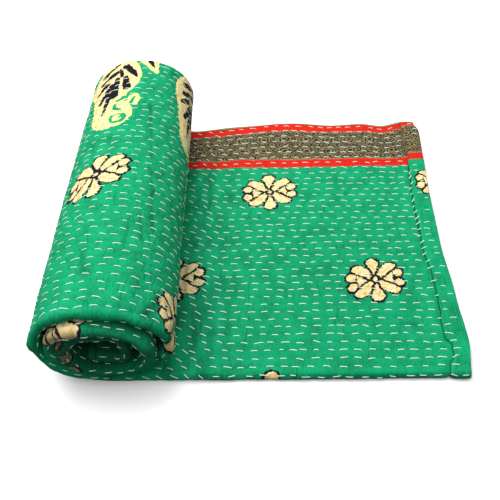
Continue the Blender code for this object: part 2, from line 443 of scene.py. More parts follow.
class Lie:
    """How the quilt lies: it turns places on the cloth into points of the frame."""

    def __init__(self) -> None:
        """Work out the two lines once, and the tail's front corner from the solid's box."""
        self.band = Band().line()
        self.centre = CentreLine().line()
        low, high = (np.array(corner) for corner in CAD_BOX)
        self.corner = np.array([high[0] - CORNER_REACH, low[1] + FRONT_REACH, low[2]])
        self.full_across = self.band[-1, 0]
        self.full_along = self.centre[-1, 0]
        fold = Band().fold_steps
        self.front_fold = (self.band[1, 0], self.band[1 + fold, 0])
        self.rear_fold = (self.band[2 + fold, 0], self.band[2 + 2 * fold, 0])
        self.inner_fold = (self.band[3 + 2 * fold, 0], self.band[3 + 3 * fold, 0])

    def along_at(self, turns: float) -> float:
        """The distance along the cloth at a number of turns."""
        return float(np.interp(turns, self.centre[:, 5], self.centre[:, 0]))

    def middle(self, along: Array, across: Array) -> Array:
        """Points in the middle of the cloth's thickness.

        A point is the centre line's point plus its normal times the layer's level, as loose
        as the roll is there, and then settled.

        Args:
            along: Distances along the cloth.
            across: Distances across it, in the same shape.

        Returns:
            Points of the frame, with the shape of along and a last axis of three.
        """
        x, z, normal_x, normal_z, turns = (
            np.interp(along, self.centre[:, 0], self.centre[:, k]) for k in range(1, 6)
        )
        fold_y, reach, level = (np.interp(across, self.band[:, 0], self.band[:, k]) for k in (1, 2, 3))
        loose = LOOSENESS.at(turns)
        level = level * loose
        placed = self._settle(x + normal_x * level, fold_y + reach * loose, z + normal_z * level, turns)
        return np.stack(placed, -1) + self.corner

    @staticmethod
    def _settle(x: Array, y: Array, z: Array, turns: Array) -> tuple:
        """Make the ideal roll as uneven as the solid: askew, leaning, tapered and ridged."""
        across = np.clip(y / BAND_WIDTH, 0, 1)
        y = y + ROLL_SHIFT.at(turns)
        above = np.clip(z - BAND_THICKNESS, 0, None)
        from_axis = x + TAIL_LENGTH
        loose = np.clip(above / LOOSE_HEIGHT, 0, 1)
        lean = FRONT_LEAN * (1 - across) * from_axis / (2 * ROLL_HALF_HEIGHT)
        z = z + above * (REAR_RISE * across - lean)
        x = x - from_axis * loose * REAR_NARROWING * across

        on_tail = np.clip(-turns * 2 * pi * ROLL_HALF_WIDTH / LOOSE_HEIGHT, 0, 1)
        swell = np.zeros_like(z)
        for ridge in RIDGES:
            swell += ridge.rise * bell(x + ridge.front_position + ridge.slant * across, ridge.width)
        near_rear = bell(BAND_WIDTH - np.clip(y, 0, BAND_WIDTH), REAR_WAVE_DEPTH)
        reach = np.zeros_like(y)
        for wave in REAR_WAVES:
            bump = bell(x + wave.position, wave.width) * near_rear
            swell += wave.rise * bump
            reach += wave.reach * bump
        y = y + reach * on_tail
        underside = CLOTH_THICKNESS / 2
        z = underside + (z - underside) * (1 + swell * on_tail)
        near_end = np.clip(1 + x / TAIL_END_REACH, 0, 1) ** 2
        x = x + TAIL_END.at(across) * near_end * on_tail
        return x, y, z

    def frame_at(self, along: Array, across: Array) -> tuple[Array, Array, Array, Array]:
        """Points in the cloth's middle, with its directions there.

        The directions come from points a little to each side, and the normal is their cross
        product, so it points out of the cloth's face.

        Args:
            along: Distances along the cloth.
            across: Distances across it, in the same shape.

        Returns:
            The points, the unit directions along and across, and the unit normal.
        """
        far, wide = 0.8 * MM, 0.3 * MM
        go_along = unit(self.middle(along + far, across) - self.middle(along - far, across))
        go_across = unit(self.middle(along, across + wide) - self.middle(along, across - wide))
        normal = unit(np.cross(go_along, go_across))
        return self.middle(along, across), go_along, go_across, normal


class Relief:
    """The small heights of the cloth's face: stitched rows, puckers, creases and the hem's step."""

    deepest = 1.2 * MM
    row_depth = 0.3 * MM
    lip_middle = 388 * MM
    lip_width = 30 * MM
    lip_ease = 40 * MM
    crumpled = 268 * MM
    crumple_width = 42 * MM
    crumple = 0.9 * MM
    crumple_shade = 0.5

    def row_phase(self, along: Array, across: Array) -> Array:
        """Which stitched row a place is on: whole numbers are rows, which wander a little."""
        return (across + ROW_WANDER.at(along, across) - FIRST_ROW) / ROW_PITCH

    def hem_edge(self, across: Array) -> Array:
        """How far along the cloth the hem's inner edge is, a little crooked."""
        return HEM_EDGE.at(across) + HEM_WAVE.at(across, across * 0)

    def hem_height(self, along: Array, across: Array) -> Array:
        """How high the hem's strip stands on the cloth there."""
        share = np.clip((self.hem_edge(across) - along) / HEM_STEP, 0, 1)
        rear = np.clip(across / HEM_REAR_EASE, 0.3, 1)
        front = np.clip((HEM_FRONT_END - across) / HEM_FRONT_EASE, 0, 1)
        return HEM_THICKNESS * share * share * (3 - 2 * share) * rear * front

    def height(self, along: Array, across: Array) -> Array:
        """Height over the plain face, in metres.

        It is the sum of a wave with its troughs on the stitched rows, random parts, crumples
        beside the roll, a bell-shaped trough along each crease, and one beside the hem. The
        tail's underside lies on the floor, so nothing stands out of it.

        Args:
            along: Distances along the cloth.
            across: Distances across it, in the same shape.

        Returns:
            The heights, in the shape of along.
        """
        phase = self.row_phase(along, across)
        height = -self.row_depth * np.cos(2 * pi * phase)
        height += PUCKERS.at(along, across) + SOFTNESS.at(along, across)
        past_tail = np.clip((along - TAIL_LENGTH) / self.lip_ease, 0, 1)
        height += past_tail * bell(across - self.lip_middle, self.lip_width) * LIP_LUMPS.at(along, across)
        height += self.crumple * self.crumples(along, across)
        for crease in CREASES:
            height -= crease.depth * crease.cover(along, across)
        beside_hem = along - self.hem_edge(across) - TROUGH_WIDTH / 2
        height -= TROUGH_DEPTH * bell(beside_hem, TROUGH_WIDTH) * (across < FRONT_TURN)
        height = np.maximum(height, -self.deepest)
        below = (across > FRONT_TURN) & (across < REAR_TURN) & (along < TAIL_LENGTH)
        return np.where(below, np.minimum(height, 0), height)

    def crumples(self, along: Array, across: Array) -> Array:
        """Narrow folds across the tail beside the roll, from -1 to 1, which fade out from there."""
        beside_roll = bell(along - self.crumpled, self.crumple_width) * (across < BAND_WIDTH)
        return beside_roll * CRUMPLES.at(along, across)

    def shade(self, along: Array, across: Array) -> Array:
        """How much painted shade darkens a place: from 0 for none to 1 for deep in a gap.

        Args:
            along: Distances along the cloth.
            across: Distances across it, in the same shape.

        Returns:
            The greatest of the gap's bell beside the hem, the creases' bells, and the sum for
            the tail's middle, painted as if in the roll's soft shadow, the roll's core, where little
            light falls, and the crumples' folds; all of it is painted shade.
        """
        beside_hem = along - self.hem_edge(across) - GAP_OFFSET
        rear_fade = np.clip((across - GAP_FADE_START) / GAP_FADE_EASE, GAP_LEAST, 1)
        gap_width = np.interp(across, HEM_SEWN, GAP_WIDTHS)
        deep = bell(beside_hem, gap_width) * (across < FRONT_TURN) * rear_fade
        tail_shadow = bell(np.hypot(along - TAIL_SHADOW_MIDDLE[0], across - TAIL_SHADOW_MIDDLE[1]), TAIL_SHADOW_WIDTH)
        core_shade = np.clip((along - CORE_START) / CORE_EASE, 0, 1)
        # Painted shade in the crumples' folds and, below, in the creases
        folds = np.clip(-self.crumples(along, across), 0, 1) * self.crumple_shade
        deep = np.maximum(deep, TAIL_SHADOW_SHARE * tail_shadow + CORE_SHARE * core_shade + folds)
        for crease in CREASES:
            deep = np.maximum(deep, crease.depth / CREASE_FULL_SHADE * crease.cover(along, across))
        return deep


@dataclass(frozen=True)
class PrintPull:
    """A place where the print is pulled aside, as on cloth that was stitched by hand."""

    along: float
    across: float
    by_along: float
    by_across: float
    width: float


PRINT_PULLS = from_millimetres(
    PrintPull,
    (287, 256, 0, 10, 70), (493, 561, 6, -10, 60), (79, 263, 2, 6, 60), (189, 412, 0, 7.5, 60),
    (167, 386, 0, -7, 13), (371, 412, 0, -18, 60), (775, 398, 0, 17, 50), (983, 398, 6, 11, 40),
    (606, 412, 13, 3, 55), (297, 68, 0, 6, 20), (484, 700, -1, -2, 55),
)

# How far the print on the turned hem is shifted, and how far the print drifts along the cloth
HEM_PRINT_SHIFT = Curve((0, 60, 76, 108, 290, 335, 400), (3, 5, 7, 14.5, 14.5, -20, -20))
PRINT_DRIFT = Curve((0, 330, 362, 424, 464, 680, 790, 1200), (0, 0, 26, 26, 0, 0, 38, 38))


def print_places(along: Array, across: Array, relief: Relief) -> Array:
    """Where the print is on the cloth, in millimetres, with the stitched row as third number.

    Args:
        along: Distances along the cloth.
        across: Distances across it, in the same shape.
        relief: Says which row of stitches a place is on.

    Returns:
        Numbers for the print attribute, with a last axis of three.
    """
    drift = PRINT_DRIFT.at(along)
    sway_along = PRINT_SWAY_ALONG.at(along, across)
    sway_across = PRINT_SWAY_ACROSS.at(along, across)
    for pull in PRINT_PULLS:
        near = bell(np.hypot(along - pull.along, across - pull.across), pull.width)
        sway_along += pull.by_along * near
        sway_across += pull.by_across * near
    place = ((along + drift + sway_along) / MM, (across + sway_across) / MM)
    return np.stack([*place, relief.row_phase(along, across)], -1)


def linear(code: str) -> tuple[float, float, float, float]:
    """Turn an sRGB hex colour into the linear values that Blender's sockets take.

    Args:
        code: Six hex digits.

    Returns:
        Red, green, blue and an alpha of one.
    """
    parts = [int(code[k : k + 2], 16) / 255 for k in (0, 2, 4)]
    red, green, blue = (p / 12.92 if p <= 0.04045 else ((p + 0.055) / 1.055) ** 2.4 for p in parts)
    return red, green, blue, 1.0


def add(tree: Tree, kind: str, inputs: dict, output: int = 0, **settings) -> Socket:
    """Add a node with its settings and links.

    Args:
        tree: The node tree.
        kind: The node's type.
        inputs: For each input's name or number, a socket to link or a value to set.
        output: The number of the output that is returned.
        **settings: The node's own properties.

    Returns:
        The output socket.
    """
    node = tree.nodes.new(kind)
    for name, value in settings.items():
        setattr(node, name, value)
    for key, value in inputs.items():
        if isinstance(value, Socket):
            tree.links.new(value, node.inputs[key])
        else:
            node.inputs[key].default_value = value
    return node.outputs[output]


def mix(tree: Tree, share: "Value", first, second) -> Socket:
    """Blend two colours, each a socket or four numbers, by a share."""
    inputs = {0: share.socket, 6: first, 7: second}
    return add(tree, "ShaderNodeMix", inputs, 2, data_type="RGBA")


def math_method(operation: str) -> Callable:
    """A method that makes the Math node of that name, with the value as its first input."""
    return lambda value, *others: value.op(operation, *others)


@dataclass(frozen=True)
class Value:
    """A number that the shader works out at each place, so that sums can be written plainly.

    Each operator makes one Math node. A comparison gives one where it holds and zero elsewhere.
    """

    tree: Tree
    socket: Socket

    def op(self, operation: str, *others: "Value | float") -> "Value":
        """Make the Math node of that name, with this value as its first input."""
        parts = [part.socket if isinstance(part, Value) else part for part in (self, *others)]
        made = add(self.tree, "ShaderNodeMath", dict(enumerate(parts)), operation=operation)
        return Value(self.tree, made)

    __add__ = __radd__ = math_method("ADD")
    __mul__ = __rmul__ = math_method("MULTIPLY")
    __sub__ = math_method("SUBTRACT")
    __truediv__ = math_method("DIVIDE")
    __mod__ = math_method("FLOORED_MODULO")
    __abs__ = math_method("ABSOLUTE")
    __lt__ = math_method("LESS_THAN")
    __gt__ = math_method("GREATER_THAN")

    def __rsub__(self, other: float) -> "Value":
        """A number less this value."""
        return self * -1 + other

    def below(self, *others: "Value | float") -> "Value":
        """The least of this value and the others."""
        least = self
        for other in others:
            least = least.op("MINIMUM", other)
        return least

    def above(self, *others: "Value | float") -> "Value":
        """The greatest of this value and the others."""
        greatest = self
        for other in others:
            greatest = greatest.op("MAXIMUM", other)
        return greatest

    def share(self) -> "Value":
        """This value, held between zero and one."""
        return self.above(0).below(1)


def noise(tree: Tree, place: Socket, scale: float, detail: float, roughness: float = 0.5) -> Value:
    """The value of a noise texture at a place."""
    inputs = {"Vector": place, "Scale": scale, "Detail": detail, "Roughness": roughness}
    return Value(tree, add(tree, "ShaderNodeTexNoise", inputs))


def new_material(name: str, roughness: float) -> tuple[Material, Tree, bpy.types.Node]:
    """Start a material.

    Args:
        name: Its name.
        roughness: Its roughness.

    Returns:
        The material, its node tree and its shader node.
    """
    material = bpy.data.materials.new(name)
    material.use_nodes = True
    shader = material.node_tree.nodes["Principled BSDF"]
    shader.inputs["Roughness"].default_value = roughness
    return material, material.node_tree, shader


def far_from(a: Value, b: Value, place: Pair = (0, 0)) -> Value:
    """The distance from a place: the root of the sum of the squares."""
    first, second = a - place[0], b - place[1]
    return (first * first + second * second).op("SQRT")


def stroke(a: Value, b: Value, start: Pair, end: Pair,
           radius: float, growth: float = 0) -> Value:
    """The distance from the edge of a round-ended stroke, below zero inside it.

    It is the distance from the nearest point of the line, less the stroke's radius there.

    Args:
        a: The place's first number.
        b: Its second.
        start: Where the line starts.
        end: Where it ends.
        radius: The stroke's radius at the start.
        growth: How much larger it is at the end.

    Returns:
        The distance.
    """
    run = (end[0] - start[0], end[1] - start[1])
    part = (((a - start[0]) * run[0] + (b - start[1]) * run[1]) / (run[0] ** 2 + run[1] ** 2)).share()
    return far_from(a - part * run[0], b - part * run[1], start) - radius - part * growth


@dataclass(frozen=True)
class FlowerPrint:
    """Flowers of six petals and two tulips, in rows that are shifted by about half a repeat.

    A flower's four quarters are alike. Each has half a wedge-shaped petal, a slanting petal
    and one lobe of a tulip, set round a small heart. Lengths are in millimetres, from the
    flower's middle.
    """

    first_row: float = 123
    row_pitch: float = 143.5
    first_flower: float = 189
    repeat: float = 208
    stagger: float = 108
    rows_end: float = 640
    slope: float = 0.13
    steep_slope: float = 0.27
    lean: float = 0.04
    tulip_start: float = 6.5
    tulip_slope: float = 0.78
    notch: float = 20.5
    lobe: Pair = (25, 6.7)
    lobe_radius: float = 6.3
    wedge_slope: float = 0.42
    wedge_reach: float = 21.5
    wedge_radius: float = 8.6
    slant_reach: float = 31
    slant_angle: float = 0.7
    slant_fall: float = 70
    heart: float = 4
    heart_gap: float = 0.6
    steep_row: int = 3

    def edge(self, s: Value, v: Value) -> Value:
        """The distance from the nearest petal's edge, below zero inside.

        Args:
            s: The print's place along the cloth.
            v: Its place across it.

        Returns:
            The distance.
        """
        row = ((v - self.first_row) / self.row_pitch + 0.5).op("FLOOR")
        down = v - self.first_row - row * self.row_pitch
        half = self.repeat / 2
        aside = (s - self.first_flower + (row % 2) * self.stagger + half) % self.repeat - half
        slope = (abs(row - self.steep_row) < 0.5) * self.steep_slope + self.slope
        side, up = abs(aside + down * self.lean), abs(down - aside * slope)
        reach = far_from(side, up)
        seam = (up - (side - self.tulip_start) * self.tulip_slope) * 0.79
        wedge = (side - (up - 3) * self.wedge_slope).above(
            far_from(side, (up - self.wedge_reach).above(0)) - self.wedge_radius
        )
        off_angle = up.op("ARCTAN2", side) - self.slant_angle
        slant = (seam * -1).above(
            ((up - 1.5) * self.wedge_slope - side) * 0.92,
            off_angle * off_angle * self.slant_fall + reach - self.slant_reach,
        )
        lobes = (side - self.notch).below(far_from(side, up, self.lobe) - self.lobe_radius)
        petals = wedge.below(slant, lobes.above(seam + 0.3)).above(self.heart + self.heart_gap - reach)
        return petals.below(reach - self.heart) + (v > self.rows_end) * self.repeat


@dataclass(frozen=True)
class Leaflet:
    """A round-ended stroke of a fern or a scroll, in millimetres."""

    start: Pair
    end: Pair
    radius: float
    growth: float

    def edge(self, a: Value, b: Value) -> Value:
        """The distance from the stroke's edge, below zero inside it."""
        return stroke(a, b, self.start, self.end, self.radius, self.growth)


def leaflets(*rows: tuple[float, ...]) -> tuple[Leaflet, ...]:
    """Make a leaflet from each row: its start's two numbers, its end's, its radius and growth."""
    return tuple(Leaflet(row[:2], row[2:4], *row[4:]) for row in rows)


@dataclass(frozen=True)
class PaisleyPrint:
    """Paisleys in rows shifted by half a repeat: a pear shape with a scrolled foot and a fern.

    Lengths are in millimetres, from a point in the paisley's waist. The tips of the next row
    are counted from the cloth's rear edge.
    """

    middle: Pair = (486, 704)
    repeat: float = 103
    reach: float = 70
    oval_middle: Pair = (1.5, 25)
    oval_size: Pair = (30.5, 40)
    oval_scale: float = 33
    spine: Leaflet = Leaflet((-6, 20), (1, -42), 22, -3)
    foot: Pair = (6, -45.5)
    foot_radius: float = 24
    scroll: Pair = (14.5, -53)
    scroll_radius: float = 7.8
    scroll_width: float = 2.4
    scroll_top: float = -46
    margin: float = 1
    next_aside: float = 34
    tips: tuple[Leaflet, ...] = leaflets((15, 737, -8, 800, 1.5, 27), (12, 746, -8, 800, 1, 12))
    tip_zone: Pair = (747, 30)
    fern: tuple[Leaflet, ...] = leaflets(
        (3, 53, -16, 40, 2.4, 1.2),
        (1, 36, -16, 24, 4.2, -0.6),
        (-8, 18, -19, 6, 4.0, -1.4),
        (-2, 11, -13, -16, 4.0, -1.4),
        (4, 21, 3, -11, 3.4, 2.2),
        (-2, -8, -6, -42, 4.6, -3.6),
        (6, 40, 9, 26, 1.6, 1.4),
        (13, 44, 28, 22, 5.0, -2.4),
        (14, 21, 17, 2, 3.2, 1.8),
    )
    cuts: tuple[Leaflet, ...] = leaflets(
        (33, 6, 20, -15, 2.6, 0),
        (20, -15, 10, -23, 2.4, 0),
        (8, -29, 8, -35, 2.0, 0.8),
        (8, -35, 17, -40, 2.6, -1),
        (21, -48, 18, -52, 2.2, 0),
    )
    hook: tuple[Leaflet, ...] = leaflets(
        (23, -42, 22, -26, 3.2, -1.2),
        (22, -26, 25, -17, 2.0, 0),
        (25, -17, 31, -12, 2.0, 0),
        (31, -12, 33, -20, 2.0, 0.4),
        (33, -20, 31, -29, 2.4, 0.8),
    )

    def shapes(self, s: Value, v: Value) -> tuple[Value, Value]:
        """Work out the distances from the paisley's edge and from its fern's.

        Of the next row's paisleys, which point the other way, only the tips are in sight.

        Args:
            s: The print's place along the cloth.
            v: Its place across it.

        Returns:
            The two distances, each below zero inside.
        """
        half = self.repeat / 2
        a = (s - self.middle[0] + half) % self.repeat - half
        b = v - self.middle[1]
        oval_a = (a - self.oval_middle[0]) / self.oval_size[0]
        oval_b = (b - self.oval_middle[1]) / self.oval_size[1]
        oval = (far_from(oval_a, oval_b) - 1) * self.oval_scale
        foot = far_from(a, b, self.foot) - self.foot_radius
        body = oval.op("SMOOTH_MIN", self.spine.edge(a, b), 5).op("SMOOTH_MIN", foot, 4)
        ring = abs(far_from(a, b, self.scroll) - self.scroll_radius) - self.scroll_width
        scroll = ring.above(b - self.scroll_top)
        shape = body.above(scroll.below(*(cut.edge(a, b) for cut in self.cuts)) * -1)
        shape = shape.below(*(part.edge(a, b) for part in self.hook))
        fern = self.fern[0].edge(a, b).below(*(part.edge(a, b) for part in self.fern[1:]))
        outside = (abs(b) > self.reach) * self.reach
        c = (s - self.middle[0] - self.next_aside + half) % self.repeat - half
        far_off = (abs(v - self.tip_zone[0]) > self.tip_zone[1]) * self.reach
        next_shape, next_fern = (part.edge(c, v) + far_off for part in self.tips)
        return (shape + outside + self.margin).below(next_shape), (fern + outside).below(next_fern)


@dataclass(frozen=True)
class BorderPrint:
    """The border: red, a dark band with medallions and diamonds drawn in fine lines, and red."""

    first_red: float = 13
    band_end: float = 66
    last_red: float = 79
    medallion_pitch: float = 26
    medallion_rows: Pair = (18, 21)
    medallion: float = 8
    diamond_line: float = 3.4
    ring_line: float = 3.7
    tooth_pitch: float = 4.2
    tooth_slope: float = 1.9
    tooth: float = 4
    diamond_limit: float = -0.35
    ring_limit: float = -0.05

    def masks(self, s: Value, v: Value) -> tuple[Value, Value, Value]:
        """Work out where the border is red, where it is dark, and where the band has its lines.

        Lines are where a sine of the distance from a medallion's middle is below a limit.

        Args:
            s: The print's place along the cloth.
            v: Its place across it.

        Returns:
            The three masks.
        """
        start, pitch = self.medallion_rows
        red = (v < self.first_red) + (v < self.last_red) - (v < self.band_end)
        dark = (v < self.band_end) - (v < self.first_red)
        aside = abs(s % self.medallion_pitch - self.medallion_pitch / 2)
        down = abs((v - start) % pitch - pitch / 2)
        diamonds = ((aside * 0.8 + down) * (2 * pi / self.diamond_line)).op("SINE") < self.diamond_limit
        inside = far_from(aside, down) < self.medallion
        rings = (far_from(aside, down, (1, 0)) * (2 * pi / self.ring_line)).op("SINE") < self.ring_limit
        comb = abs(s % self.tooth_pitch - self.tooth_pitch / 2) * self.tooth_slope
        teeth = (comb < v - self.band_end + self.tooth).above(comb < self.first_red + self.tooth - v)
        light = (diamonds * (1 - inside) + inside * rings).above(teeth) * dark
        return red, dark, light


@dataclass(frozen=True)
class PrintedCotton:
    """Plain-woven cotton, block-printed and washed: matt, and uneven in its green.

    The weave's threads are about 0.3 mm apart, too fine to show, so they are drawn 0.9 mm
    apart. The print reads the cloth's own print attribute, in millimetres.
    """

    name: str = "woven cotton, printed"
    green: str = "0DA06B"
    green_deep: str = "067A4C"
    red: str = "CE2115"
    cream: str = "F3DFA6"
    tan: str = "DDB567"
    rim: str = "F2E08F"
    ink: str = "12121C"
    dark: str = "1A150F"
    gold: str = "8C7F5A"
    shade_colour: tuple[float, ...] = (0.0, 0.02, 0.01, 1.0)
    roughness: float = 0.9
    specular: float = 0.15
    outline: float = 1.3
    rim_width: float = 1.0
    shade_strength: float = 0.88
    smudge: float = 2.6
    ragged: float = 2.8
    weave_pitch: float = 0.9
    pucker_height: float = 1.9
    trough_height: float = 0.35
    weave_height: float = 0.035
    wrinkle_depth: float = 0.45
    wrinkle_shade: float = 0.26
    wrinkle_sharpness: float = 30

    def make(self) -> Material:
        """Build the material.

        Returns:
            The material, with the print's colours, the weave and the stitched relief.
        """
        material, tree, shader = new_material(self.name, self.roughness)
        place = add(tree, "ShaderNodeAttribute", {}, 1, attribute_name="print")
        parts = (add(tree, "ShaderNodeSeparateXYZ", {0: place}, k) for k in range(3))
        plain_s, plain_v, row = (Value(tree, part) for part in parts)
        flat = add(tree, "ShaderNodeCombineXYZ", {0: plain_s.socket, 1: plain_v.socket})
        s, v = self._ragged_place(tree, flat, plain_s, plain_v)

        mottle, slub = noise(tree, flat, 0.05, 4.0), noise(tree, flat, 0.55, 3.0)
        depth = ((mottle - 0.45) * 2.2 + (slub - 0.45) * 2.7).share()
        cloth = mix(tree, depth, linear(self.green), linear(self.green_deep))
        speckle = noise(tree, flat, 0.24, 2.0)
        cream = mix(tree, ((speckle - 0.44) * 4).share(), linear(self.cream), linear(self.tan))
        flower = FlowerPrint().edge(s, v)
        paisley, fern = PaisleyPrint().shapes(s, v)
        red, dark, light = BorderPrint().masks(s, v)
        colour = cloth
        for mask, paint in (
            (flower < self.outline, linear(self.ink)),
            (flower < -self.outline, cream),
            (paisley < 0, cream),
            (abs(paisley) < self.rim_width, linear(self.rim)),
            ((fern < 0) * (paisley < -3), linear(self.ink)),
            (red, linear(self.red)),
            (dark, linear(self.dark)),
            (light, linear(self.gold)),
        ):
            colour = mix(tree, mask, colour, paint)
        # Painted shade: the shade attribute and the wrinkles' lines mix the colour towards a near-black
        # green
        shade = Value(tree, add(tree, "ShaderNodeAttribute", {}, 2, attribute_name="shade"))
        wrinkles = self._wrinkles(tree, flat, plain_s, plain_v)
        shade = (shade * self.shade_strength + wrinkles * self.wrinkle_shade).share()
        colour = mix(tree, shade, colour, self.shade_colour)
        tree.links.new(colour, shader.inputs["Base Color"])
        tree.links.new(self._relief(tree, plain_s, plain_v, row, wrinkles), shader.inputs["Normal"])
        shader.inputs["Specular IOR Level"].default_value = self.specular
        return material

    def _ragged_place(self, tree: Tree, flat: Socket, s: Value, v: Value) -> tuple:
        """Move the print's places about by noise, so that its edges run as ragged as a block's."""
        moved = [s, v]
        for scale, strength in ((0.16, self.smudge), (0.6, self.ragged)):
            colour = add(tree, "ShaderNodeTexNoise", {"Vector": flat, "Scale": scale, "Detail": 0.0}, 1)
            for k in (0, 1):
                part = Value(tree, add(tree, "ShaderNodeSeparateColor", {0: colour}, k))
                moved[k] = moved[k] + (part - 0.5) * strength
        return tuple(moved)

    def _wrinkles(self, tree: Tree, flat: Socket, s: Value, v: Value) -> Value:
        """Thin wrinkles across the band: lines where stretched noise crosses its middle, in patches."""
        stretched = add(tree, "ShaderNodeCombineXYZ", {0: s.socket, 1: (v * 0.22).socket})
        waves, patches = noise(tree, stretched, 0.085, 0.6), noise(tree, flat, 0.045, 1.0)
        lines = (1 - abs(waves - 0.5) * self.wrinkle_sharpness).share()
        return lines * ((patches - 0.5) * 8).share()

    def _relief(self, tree: Tree, s: Value, v: Value, row: Value, wrinkles: Value) -> Socket:
        """Bump from stretched noise, a dip along each stitched row, wrinkles and the weave."""
        stretched = add(tree, "ShaderNodeCombineXYZ", {0: s.socket, 1: (v * 0.45).socket})
        puckers = noise(tree, stretched, 0.17, 3.0, 0.55)
        off_row = abs((row + 0.5) % 1 - 0.5) * (ROW_PITCH / MM)
        dip = (off_row * off_row * -0.5).op("EXPONENT")
        turn = 2 * pi / self.weave_pitch
        weave = (s * turn).op("SINE") * (v * turn).op("SINE")
        height = puckers * self.pucker_height - dip * self.trough_height + weave * self.weave_height
        height = height - wrinkles * self.wrinkle_depth
        return add(tree, "ShaderNodeBump", {"Height": height.socket, "Strength": 1.0, "Distance": MM})


@dataclass(frozen=True)
class CottonThread:
    """Soft cotton sewing thread of six loose strands: matt, and a little paler or more mint at random."""

    name: str = "cotton thread, six-strand"
    pale: str = "F2FFF9"
    mint: str = "D2FAE8"
    roughness: float = 0.8

    def make(self) -> Material:
        """Build the material.

        Returns:
            The thread's material, with its twist as bump.
        """
        material, tree, shader = new_material(self.name, self.roughness)
        spot = add(tree, "ShaderNodeTexCoord", {}, 3)
        mottle = noise(tree, spot, 160.0, 2.0)
        strands = add(tree, "ShaderNodeTexWave", {"Vector": spot, "Scale": 420.0, "Distortion": 1.5}, 1)
        mixed = mix(tree, mottle, linear(self.pale), linear(self.mint))
        tree.links.new(mixed, shader.inputs["Base Color"])
        bump = add(tree, "ShaderNodeBump", {"Height": strands, "Strength": 0.6, "Distance": 0.15 * MM})
        tree.links.new(bump, shader.inputs["Normal"])
        shader.inputs["Sheen Weight"].default_value = 0.1
        return material


def make_mesh(name: str, points: Array, faces: Array) -> Piece:
    """Put points and four-cornered faces into a smooth mesh object.

    Args:
        name: The object's name.
        points: The points, in rows of three.
        faces: The faces, in rows of four point numbers.

    Returns:
        The object, linked to the scene.
    """
    mesh = bpy.data.meshes.new(name)
    mesh.vertices.add(len(points))
    mesh.vertices.foreach_set("co", points.astype(np.float32).ravel())
    mesh.loops.add(faces.size)
    mesh.loops.foreach_set("vertex_index", faces.astype(np.int32).ravel())
    mesh.polygons.add(len(faces))
    mesh.polygons.foreach_set("loop_start", np.arange(0, faces.size, faces.shape[1], dtype=np.int32))
    mesh.update(calc_edges=True)
    mesh.shade_smooth()
    made = bpy.data.objects.new(name, mesh)
    bpy.context.scene.collection.objects.link(made)
    return made


def grid_faces(rows: int, columns: int, first: int = 0, flip: bool = False) -> Array:
    """Faces of a grid of points that are numbered row by row.

    Args:
        rows: How many rows of points.
        columns: How many points in a row.
        first: The number of the first point.
        flip: Whether the faces point the other way.

    Returns:
        The faces, in rows of four point numbers.
    """
    numbers = first + np.arange(rows * columns).reshape(rows, columns)
    corners = [numbers[:-1, :-1], numbers[1:, :-1], numbers[1:, 1:], numbers[:-1, 1:]]
    if flip:
        corners.reverse()
    return np.stack(corners, -1).reshape(-1, 4)


def border_of(rows: int, columns: int) -> Array:
    """The numbers of a grid's outer points, once round."""
    numbers = np.arange(rows * columns).reshape(rows, columns)
    return np.concatenate([numbers[:-1, 0], numbers[-1, :-1], numbers[:0:-1, -1], numbers[0, :0:-1]])


def set_attribute(made: Piece, name: str, values: Array) -> None:
    """Give each point of a mesh a number, or a vector of three, by a name."""
    kind, field = ("FLOAT", "value") if values.ndim == 1 else ("FLOAT_VECTOR", "vector")
    attribute = made.data.attributes.new(name, kind, "POINT")
    attribute.data.foreach_set(field, values.astype(np.float32).ravel())


def dress(made: Piece, material: Material) -> Piece:
    """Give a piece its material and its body."""
    made.data.materials.append(material)
    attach(made, "root")
    return made


def ticks(start: float, end: float, step: float) -> Array:
    """Even places from start up to but not at end, about one step apart."""
    return np.linspace(start, end, max(2, int(round((end - start) / step)) + 1))[:-1]


